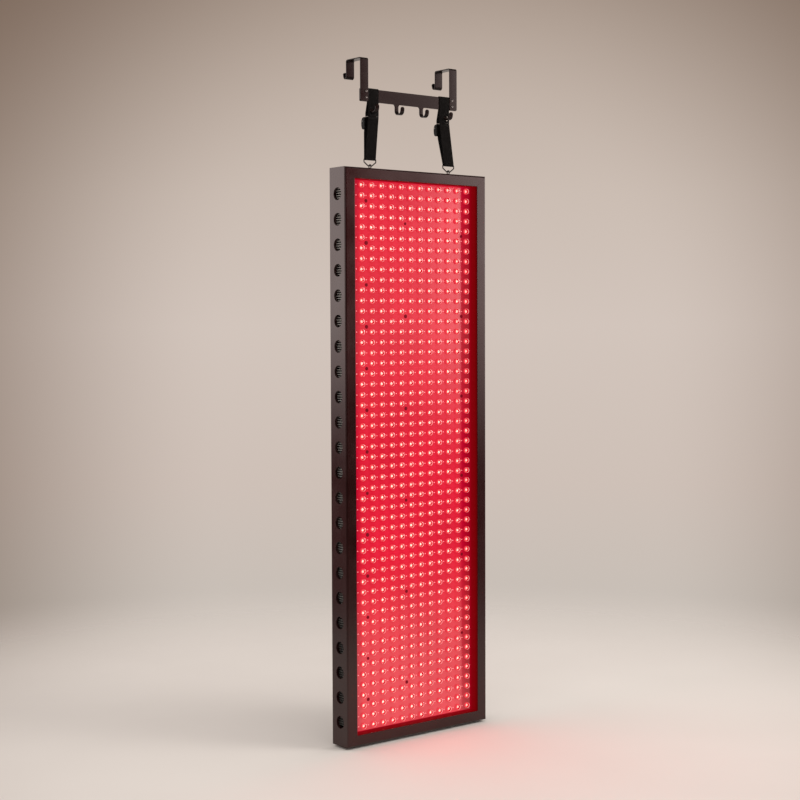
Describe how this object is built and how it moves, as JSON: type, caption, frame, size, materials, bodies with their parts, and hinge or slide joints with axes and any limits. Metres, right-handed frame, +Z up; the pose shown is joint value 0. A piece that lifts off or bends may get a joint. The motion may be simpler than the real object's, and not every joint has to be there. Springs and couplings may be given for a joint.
{
  "type": "red light therapy panel",
  "caption": "Tall black LED panel that glows red, hung by two webbing straps from an over-the-door hook rack.",
  "frame": {"origin": "middle of the door's top edge, where the two door hooks rest: halfway between the hooks and in the middle of the door's thickness", "axes": "+Z up, -Y the way the lit front faces, +X to the right of someone who looks at the front"},
  "size_m": [0.352, 0.082, 1.3149],
  "materials": {
    "black_steel": "satin powder coat, nearly black",
    "webbing": "woven, dull",
    "bright_steel": "zinc plated",
    "ring_steel": "dark plated wire",
    "housing": "fine matte black powder coat",
    "heat_sink": "dark anodised",
    "aluminium": "mill finish",
    "lens": "clear moulded, lit red",
    "board": "glossy solder mask",
    "plastic": "moulded",
    "lead": "matte jacket"
  },
  "bodies": {
    "rack": {"hook_bar": "black_steel", "left_door_hook": "black_steel", "left_upper_screw": "bright_steel", "left_lower_screw": "bright_steel", "left_strap_wrap": "webbing", "right_door_hook": "black_steel", "right_upper_screw": "bright_steel", "right_lower_screw": "bright_steel", "right_strap_wrap": "webbing"},
    "left_strap_body": {"left_strap": "webbing", "left_buckle": "black_steel", "left_buckle_pin": "ring_steel", "left_ring": "ring_steel"},
    "left_cam_body": {"left_buckle_cam": "black_steel"},
    "right_strap_body": {"right_strap": "webbing", "right_buckle": "black_steel", "right_buckle_pin": "ring_steel", "right_ring": "ring_steel"},
    "right_cam_body": {"right_buckle_cam": "black_steel"},
    "panel_body": {"left_eye_bolt": "ring_steel", "left_eye_nut": "bright_steel", "left_rail": "housing", "left_heat_sink": "heat_sink", "left_top_key": "aluminium", "left_bottom_key": "aluminium", "right_eye_bolt": "ring_steel", "right_eye_nut": "bright_steel", "right_rail": "housing", "right_heat_sink": "heat_sink", "right_top_key": "aluminium", "right_bottom_key": "aluminium", "top_rail": "housing", "bottom_rail": "housing", "lens_sheet_1": "lens", "lens_sheet_2": "lens", "lens_sheet_3": "lens", "led_board_1": "board", "led_board_2": "board", "led_board_3": "board", "heat_spreader": "aluminium", "fan_1_frame": "plastic", "fan_2_frame": "plastic", "fan_3_frame": "plastic", "led_driver_1": "aluminium", "led_driver_2": "aluminium", "rear_cover": "housing", "mains_inlet": "plastic", "switch_housing": "plastic", "mains_lead": "lead", "driver_lead": "lead"},
    "fan_1_body": {"fan_1_rotor": "plastic"},
    "fan_2_body": {"fan_2_rotor": "plastic"},
    "fan_3_body": {"fan_3_rotor": "plastic"},
    "rocker_body": {"switch_rocker": "plastic"}
  },
  "joints": [
    {"name": "left_strap_swing", "type": "hinge", "parent": "rack", "child": "left_strap_body", "pos_m": [-0.0887, -0.0235, -0.1077], "axis": [-1, 0, 0], "range_deg": [-2, 25]},
    {"name": "left_cam_lift", "type": "hinge", "parent": "left_strap_body", "child": "left_cam_body", "pos_m": [-0.0902, -0.0098, -0.1165], "axis": [1, 0, 0], "range_deg": [0, 50], "stiffness_Nm_per_rad": 0.02, "springref_deg": -11.46},
    {"name": "right_strap_swing", "type": "hinge", "parent": "rack", "child": "right_strap_body", "pos_m": [0.0887, -0.0235, -0.1077], "axis": [-1, 0, 0], "range_deg": [-2, 25]},
    {"name": "right_cam_lift", "type": "hinge", "parent": "right_strap_body", "child": "right_cam_body", "pos_m": [0.0902, -0.0098, -0.1165], "axis": [1, 0, 0], "range_deg": [0, 50], "stiffness_Nm_per_rad": 0.02, "springref_deg": -11.46},
    {"name": "panel_swing", "type": "hinge", "parent": "left_strap_body", "child": "panel_body", "pos_m": [-0.0982, -0.0235, -0.2024], "axis": [-1, 0, 0], "range_deg": [-30, 30]},
    {"name": "fan_1_spin", "type": "hinge", "parent": "panel_body", "child": "fan_1_body", "pos_m": [0, -0.0079, -0.399], "axis": [0, 1, 0], "continuous": true},
    {"name": "fan_2_spin", "type": "hinge", "parent": "panel_body", "child": "fan_2_body", "pos_m": [0, -0.0079, -0.759], "axis": [0, 1, 0], "continuous": true},
    {"name": "fan_3_spin", "type": "hinge", "parent": "panel_body", "child": "fan_3_body", "pos_m": [0, -0.0079, -1.119], "axis": [0, 1, 0], "continuous": true},
    {"name": "rocker_press", "type": "hinge", "parent": "panel_body", "child": "rocker_body", "pos_m": [0.126, -0.0235, -1.3103], "axis": [0, -1, 0], "range_deg": [0, 18]}
  ],
  "couplings": [
    {"joint": "right_strap_swing", "follows": "left_strap_swing", "ratio": 1}
  ]
}
